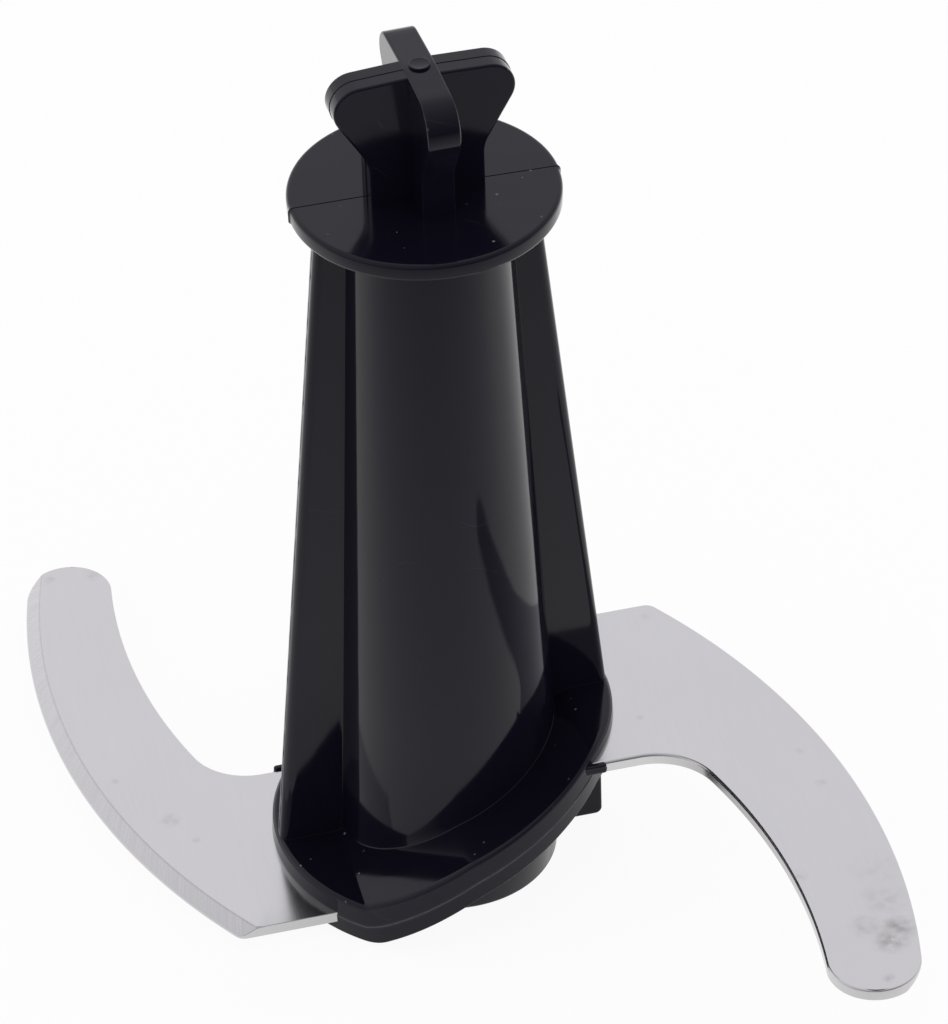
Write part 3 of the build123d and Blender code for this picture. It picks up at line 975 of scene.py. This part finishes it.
def rolled_steel():
    """Stainless steel sheet, cold rolled and polished. Nearly a mirror, veiled by fine rolling lines
    along Y, with dried splashes that dull and brown its upward faces in a few places."""
    material, tree = new_material("cold_rolled_stainless_sheet")
    place = add_node(tree, "ShaderNodeTexCoord").outputs["Object"]
    # Rolling lines are some hundredths of a millimetre wide; drawn at 0.3 mm so that they show
    across, along = repeats(0.30303), repeats(8.3333)
    drawn = add_node(tree, "ShaderNodeMapping", {"Scale": (across, along, along)}, {"Vector": place})
    lines = add_node(
        tree, "ShaderNodeTexNoise", {"Scale": 1.0, "Detail": 3.0}, {"Vector": drawn.outputs[0]}
    )
    # Clouds of 17 mm in the veil, and specks of 1.4 mm that break the stains up
    cloud = add_node(
        tree, "ShaderNodeTexNoise", {"Scale": repeats(16.667), "Detail": 5.0}, {"Vector": place}
    )
    specks = add_node(
        tree, "ShaderNodeTexNoise", {"Scale": repeats(1.4286), "Detail": 6.0}, {"Vector": place}
    )
    level = add_node(tree, "ShaderNodeVectorMath", {1: (1, 1, 0)}, {0: place}, operation="MULTIPLY")
    spots = []
    for x, y, radius, amount in STAINS:
        away = add_node(
            tree,
            "ShaderNodeVectorMath",
            {1: (x * MM, y * MM, 0)},
            {0: level.outputs[0]},
            operation="DISTANCE",
        )
        spot = add_node(
            tree,
            "ShaderNodeMapRange",
            {1: radius * MM, 2: 0.0, 3: 0.0, 4: amount},
            {0: away.outputs["Value"]},
            interpolation_type="SMOOTHSTEP",
        )
        spots.append(spot.outputs[0])
    total = spots[0]
    for spot in spots[1:]:
        total = add_node(
            tree, "ShaderNodeMath", links={0: total, 1: spot}, operation="MAXIMUM"
        ).outputs[0]
    broken = add_node(
        tree, "ShaderNodeMapRange", {1: 0.38, 2: 0.62, 3: 0.25, 4: 1.0}, {0: specks.outputs["Fac"]}
    )
    splashed = add_node(
        tree, "ShaderNodeMath", links={0: total, 1: broken.outputs[0]}, operation="MULTIPLY"
    )
    # Splashes dried on the faces that look up
    face = add_node(tree, "ShaderNodeNewGeometry")
    tilt = add_node(tree, "ShaderNodeSeparateXYZ", links={0: face.outputs["Normal"]})
    stain = add_node(
        tree,
        "ShaderNodeMath",
        links={0: splashed.outputs[0], 1: tilt.outputs["Z"]},
        operation="MULTIPLY",
        use_clamp=True,
    )
    mixed = add_node(
        tree, "ShaderNodeMath", links={0: lines.outputs["Fac"], 1: cloud.outputs["Fac"]}, operation="ADD"
    )
    veil = add_node(
        tree, "ShaderNodeMapRange", {1: 0.7, 2: 1.3, 3: 0.0, 4: 1.0}, {0: mixed.outputs[0]}
    )
    plain = add_node(
        tree,
        "ShaderNodeMix",
        {6: linear("#d7d6d6"), 7: linear("#dad9d9")},
        {0: veil.outputs[0]},
        data_type="RGBA",
    )
    colour = add_node(
        tree,
        "ShaderNodeMix",
        {7: linear("#8f8884")},
        {0: stain.outputs[0], 6: plain.outputs[2]},
        data_type="RGBA",
    )
    # Roughness of the bare and the veiled sheet, and what a dried splash adds
    bright, veiled, dried = 0.17, 0.2, 0.3
    rough = add_node(
        tree, "ShaderNodeMapRange", {1: 0.0, 2: 1.0, 3: bright, 4: veiled}, {0: veil.outputs[0]}
    )
    duller = add_node(
        tree,
        "ShaderNodeMath",
        {1: dried},
        {0: stain.outputs[0], 2: rough.outputs[0]},
        operation="MULTIPLY_ADD",
    )
    bump = add_node(
        tree,
        "ShaderNodeBump",
        {"Strength": 0.08, "Distance": 0.01 * MM},
        {"Height": lines.outputs["Fac"]},
    )
    shader = add_node(
        tree,
        "ShaderNodeBsdfPrincipled",
        {"Metallic": 1.0},
        {"Base Color": colour.outputs[2], "Roughness": duller.outputs[0], "Normal": bump.outputs["Normal"]},
    )
    add_node(tree, "ShaderNodeOutputMaterial", links={"Surface": shader.outputs["BSDF"]})
    return material


def ground_bevel():
    """Stainless steel, ground on a belt across the edge. The grooves lie side by side along the
    blade and make the bevel a little darker and duller than the flat."""
    material, tree = new_material("belt_ground_stainless_bevel")
    way = add_node(tree, "ShaderNodeAttribute", attribute_name="way").outputs["Vector"]
    # A fine belt's grooves on the attribute's millimetres, drawn 0.35 mm apart so that they show
    apart, long = 0.34483, 4.0
    drawn = add_node(tree, "ShaderNodeMapping", {"Scale": (1 / apart, 1 / long, 0.0)}, {"Vector": way})
    grooves = add_node(
        tree, "ShaderNodeTexNoise", {"Scale": 1.0, "Detail": 3.0}, {"Vector": drawn.outputs[0]}
    )
    share = add_node(
        tree, "ShaderNodeMapRange", {1: 0.3, 2: 0.7, 3: 0.0, 4: 1.0}, {0: grooves.outputs["Fac"]}
    )
    grooved = add_node(
        tree,
        "ShaderNodeMix",
        {6: linear("#cfcecd"), 7: linear("#d8d7d6")},
        {0: share.outputs[0]},
        data_type="RGBA",
    )
    # Roughness down in a groove and on the ridge beside it
    in_groove, on_ridge = 0.3, 0.25
    rough = add_node(
        tree, "ShaderNodeMapRange", {1: 0.0, 2: 1.0, 3: in_groove, 4: on_ridge}, {0: share.outputs[0]}
    )
    # A darker thread along the bevel's inner line, over its last 0.3 mm
    split = add_node(tree, "ShaderNodeSeparateXYZ", links={0: way})
    inner_thread = add_node(
        tree,
        "ShaderNodeMapRange",
        {1: BEVEL_WIDTH - 0.3, 2: BEVEL_WIDTH - 0.1, 3: 0.0, 4: 0.35},
        {0: split.outputs["Y"]},
    )
    colour = add_node(
        tree,
        "ShaderNodeMix",
        {7: linear("#a3a2a4")},
        {0: inner_thread.outputs[0], 6: grooved.outputs[2]},
        data_type="RGBA",
    )
    bump = add_node(
        tree,
        "ShaderNodeBump",
        {"Strength": 0.12, "Distance": 0.02 * MM},
        {"Height": grooves.outputs["Fac"]},
    )
    shader = add_node(
        tree,
        "ShaderNodeBsdfPrincipled",
        {"Metallic": 1.0},
        {"Base Color": colour.outputs[2], "Roughness": rough.outputs[0], "Normal": bump.outputs["Normal"]},
    )
    add_node(tree, "ShaderNodeOutputMaterial", links={"Surface": shader.outputs["BSDF"]})
    return material


black = moulded_black()
steel = rolled_steel()
ground = ground_bevel()

hub_shapes = {
    "cone_and_wings": tower(),
    "grip_disc": disc(),
    "cross_fin": fin(CROSS_TOP, CROSS_END, CROSS_END, GRIP_TURN, CROSS_LEDGE),
    "long_fin": fin(LONG_TOP, FAR_END, NEAR_END, GRIP_TURN + math.pi / 2),
    "gate_button": button(),
    "boss_and_sleeve": foot(),
    "prop": prop(),
    "lower_lug": lug(*LOWER_LUG),
    "upper_lug": lug(*UPPER_LUG),
}
for name, shape in hub_shapes.items():
    make_piece(name, shape, [black], "hub")
# The plate's attribute carries the painted highlight along its mould's line
plate_shape, line_highlights = plate()
make_piece("ramp_plate", plate_shape, [black], "hub", way=line_highlights)
for name, half_turn in (("lower_blade", False), ("upper_blade", True)):
    shape, way, kinds = blade(half_turn)
    make_piece(name + "_sheet", shape, [steel, ground], name, BEVEL_CREASE, way, kinds)

# Camera at the photograph's place, in millimetres, with its turn, rise and roll
CAMERA_TURN = math.radians(13.0)
CAMERA_RISE = math.radians(37.99)
CAMERA_ROLL = math.radians(-2.04)
CAMERA_PLACE = (-135.08, -607.02, 544.08)
CAMERA_LENS = 205.28

# Stage: a white floor and a white surround. What lights the object is the same from all sides.
# What shines in it is dimmer towards the camera, as the opening of a light tent is. The floor's
# values are in metres: how its glow falls off before the object, and as a Map Range's from and to,
# how it rises behind the object and is dimmed round it by a painted shade.
FLOOR_HALF = 30.0
GLOW_START = 0.02
GLOW_FADE = 0.26
GLOW_SHARE = 0.93
BEHIND = {1: -0.12, 2: -0.03, 3: 1.3, 4: 1.0}
PAINTED_SHADE = {1: 0.02, 2: 0.055, 3: 0.68, 4: 1.0}

# Tent: where its opening is, how steeply it brightens round it, and its least and added brightness
OPENING_TURN = math.radians(-75.0)
OPENING_RISE = math.radians(5.0)
TENT_TINT = linear("#f8f7fd")
TENT_POWER = 0.65
TENT_LEAST = 0.1
TENT_ADDED = 0.92
TENT_LIGHT = 0.95
WHITE = linear("#ffffff")


def rays_shown(tree):
    """Sockets that are one for a camera ray, and one for any ray that shows the surround, straight,
    in a shiny surface or through a clear one. Both are none for rays that only carry light."""
    path = add_node(tree, "ShaderNodeLightPath").outputs
    mirrored = add_node(
        tree, "ShaderNodeMath", links={0: path["Is Camera Ray"], 1: path["Is Glossy Ray"]}
    )
    shown = add_node(
        tree,
        "ShaderNodeMath",
        links={0: mirrored.outputs[0], 1: path["Is Transmission Ray"]},
        use_clamp=True,
    )
    return path["Is Camera Ray"], shown.outputs[0]


def pale_floor():
    """Paint of the floor. To light it is plain white paint. To a camera ray it glows white, and to a
    ray in a shiny surface it glows less the further in front of the object it is met."""
    material, tree = new_material("pale_floor")
    seen, shown = rays_shown(tree)
    place = add_node(tree, "ShaderNodeTexCoord").outputs["Object"]
    ahead = add_node(
        tree,
        "ShaderNodeVectorMath",
        {1: (-math.sin(CAMERA_TURN), -math.cos(CAMERA_TURN), 0)},
        {0: place},
        operation="DOT_PRODUCT",
    ).outputs["Value"]
    # Dimmer by a third with each 105 mm in front of the first 20 mm
    past = add_node(tree, "ShaderNodeMath", {1: GLOW_START}, {0: ahead}, operation="SUBTRACT")
    past = add_node(tree, "ShaderNodeMath", {1: 0.0}, {0: past.outputs[0]}, operation="MAXIMUM")
    fading = add_node(
        tree, "ShaderNodeMath", {1: -1 / GLOW_FADE}, {0: past.outputs[0]}, operation="MULTIPLY"
    )
    glow = add_node(tree, "ShaderNodeMath", links={0: fading.outputs[0]}, operation="EXPONENT").outputs[0]
    # Brighter than white well behind the object, and dimmed close round the axis by a painted shade
    behind = add_node(tree, "ShaderNodeMapRange", BEHIND, {0: ahead})
    around = add_node(tree, "ShaderNodeVectorMath", links={0: place}, operation="LENGTH")
    shade = add_node(tree, "ShaderNodeMapRange", PAINTED_SHADE, {0: around.outputs["Value"]})
    for factor in (behind, shade):
        glow = add_node(
            tree, "ShaderNodeMath", links={0: glow, 1: factor.outputs[0]}, operation="MULTIPLY"
        ).outputs[0]
    strength = add_node(tree, "ShaderNodeMix", {3: 1.0}, {0: seen, 2: glow})
    light = add_node(tree, "ShaderNodeEmission", {"Color": WHITE}, {"Strength": strength.outputs[0]})
    paint = add_node(tree, "ShaderNodeBsdfDiffuse", {"Color": linear("#f6f6f6")})
    amount = add_node(tree, "ShaderNodeMath", {1: GLOW_SHARE}, {0: shown}, operation="MULTIPLY")
    surface = add_node(
        tree, "ShaderNodeMixShader", links={0: amount.outputs[0], 1: paint.outputs[0], 2: light.outputs[0]}
    )
    add_node(tree, "ShaderNodeOutputMaterial", links={"Surface": surface.outputs[0]})
    return material


def light_tent():
    """White surround. To light it is even, and to a ray in a shiny surface it brightens away from its
    opening: (1 - cosine of the angle from the opening) / 2, to a power, by a share, and a least."""
    world = bpy.data.worlds.new("light_tent")
    world.use_nodes = True
    tree = world.node_tree
    tree.nodes.clear()
    seen, shown = rays_shown(tree)
    toward = add_node(tree, "ShaderNodeTexCoord")
    level = math.cos(OPENING_RISE)
    opening = (math.cos(OPENING_TURN) * level, math.sin(OPENING_TURN) * level, math.sin(OPENING_RISE))
    facing = add_node(
        tree,
        "ShaderNodeVectorMath",
        {1: opening},
        {0: toward.outputs["Generated"]},
        operation="DOT_PRODUCT",
    )
    away = add_node(
        tree,
        "ShaderNodeMath",
        {1: -0.5, 2: 0.5},
        {0: facing.outputs["Value"]},
        operation="MULTIPLY_ADD",
        use_clamp=True,
    )
    rising = add_node(tree, "ShaderNodeMath", {1: TENT_POWER}, {0: away.outputs[0]}, operation="POWER")
    tent = add_node(
        tree,
        "ShaderNodeMath",
        {1: TENT_ADDED, 2: TENT_LEAST},
        {0: rising.outputs[0]},
        operation="MULTIPLY_ADD",
    )
    power = add_node(tree, "ShaderNodeMix", {2: TENT_LIGHT}, {0: shown, 3: tent.outputs[0]})
    surround = add_node(tree, "ShaderNodeBackground", {"Color": TENT_TINT}, {"Strength": power.outputs[0]})
    white = add_node(tree, "ShaderNodeBackground", {"Color": WHITE, "Strength": 1.0})
    surface = add_node(
        tree, "ShaderNodeMixShader", links={0: seen, 1: surround.outputs[0], 2: white.outputs[0]}
    )
    add_node(tree, "ShaderNodeOutputWorld", links={"Surface": surface.outputs[0]})
    return world


def photo_camera():
    """Camera at the photograph's place: turned 13 degrees, 38 degrees up, rolled 2 degrees."""
    level = Vector((math.cos(CAMERA_TURN), -math.sin(CAMERA_TURN), 0))
    ahead = Vector((math.sin(CAMERA_TURN), math.cos(CAMERA_TURN), 0))
    back = Vector((0, 0, 1)) * math.sin(CAMERA_RISE) - ahead * math.cos(CAMERA_RISE)
    right = level * math.cos(CAMERA_ROLL) + back.cross(level) * math.sin(CAMERA_ROLL)
    lens = bpy.data.cameras.new("camera")
    lens.sensor_fit = "VERTICAL"
    lens.sensor_height = 36.0
    lens.lens = CAMERA_LENS
    lens.clip_end = 100.0
    camera = bpy.data.objects.new("camera", lens)
    turned_to = Matrix((right, back.cross(right), back)).transposed().to_4x4()
    camera.matrix_world = Matrix.Translation(Vector(CAMERA_PLACE) * MM) @ turned_to
    return camera


floor_mesh = bpy.data.meshes.new("floor")
corners = [(-1, -1), (1, -1), (1, 1), (-1, 1)]
floor_mesh.from_pydata([(x * FLOOR_HALF, y * FLOOR_HALF, 0) for x, y in corners], [], [(0, 1, 2, 3)])
floor_mesh.materials.append(pale_floor())
floor = bpy.data.objects.new("floor", floor_mesh)
bpy.context.scene.collection.objects.link(floor)
bpy.context.scene.world = light_tent()
bpy.context.scene.camera = photo_camera()
bpy.context.scene.collection.objects.link(bpy.context.scene.camera)
bpy.context.scene.view_settings.view_transform = "Standard"
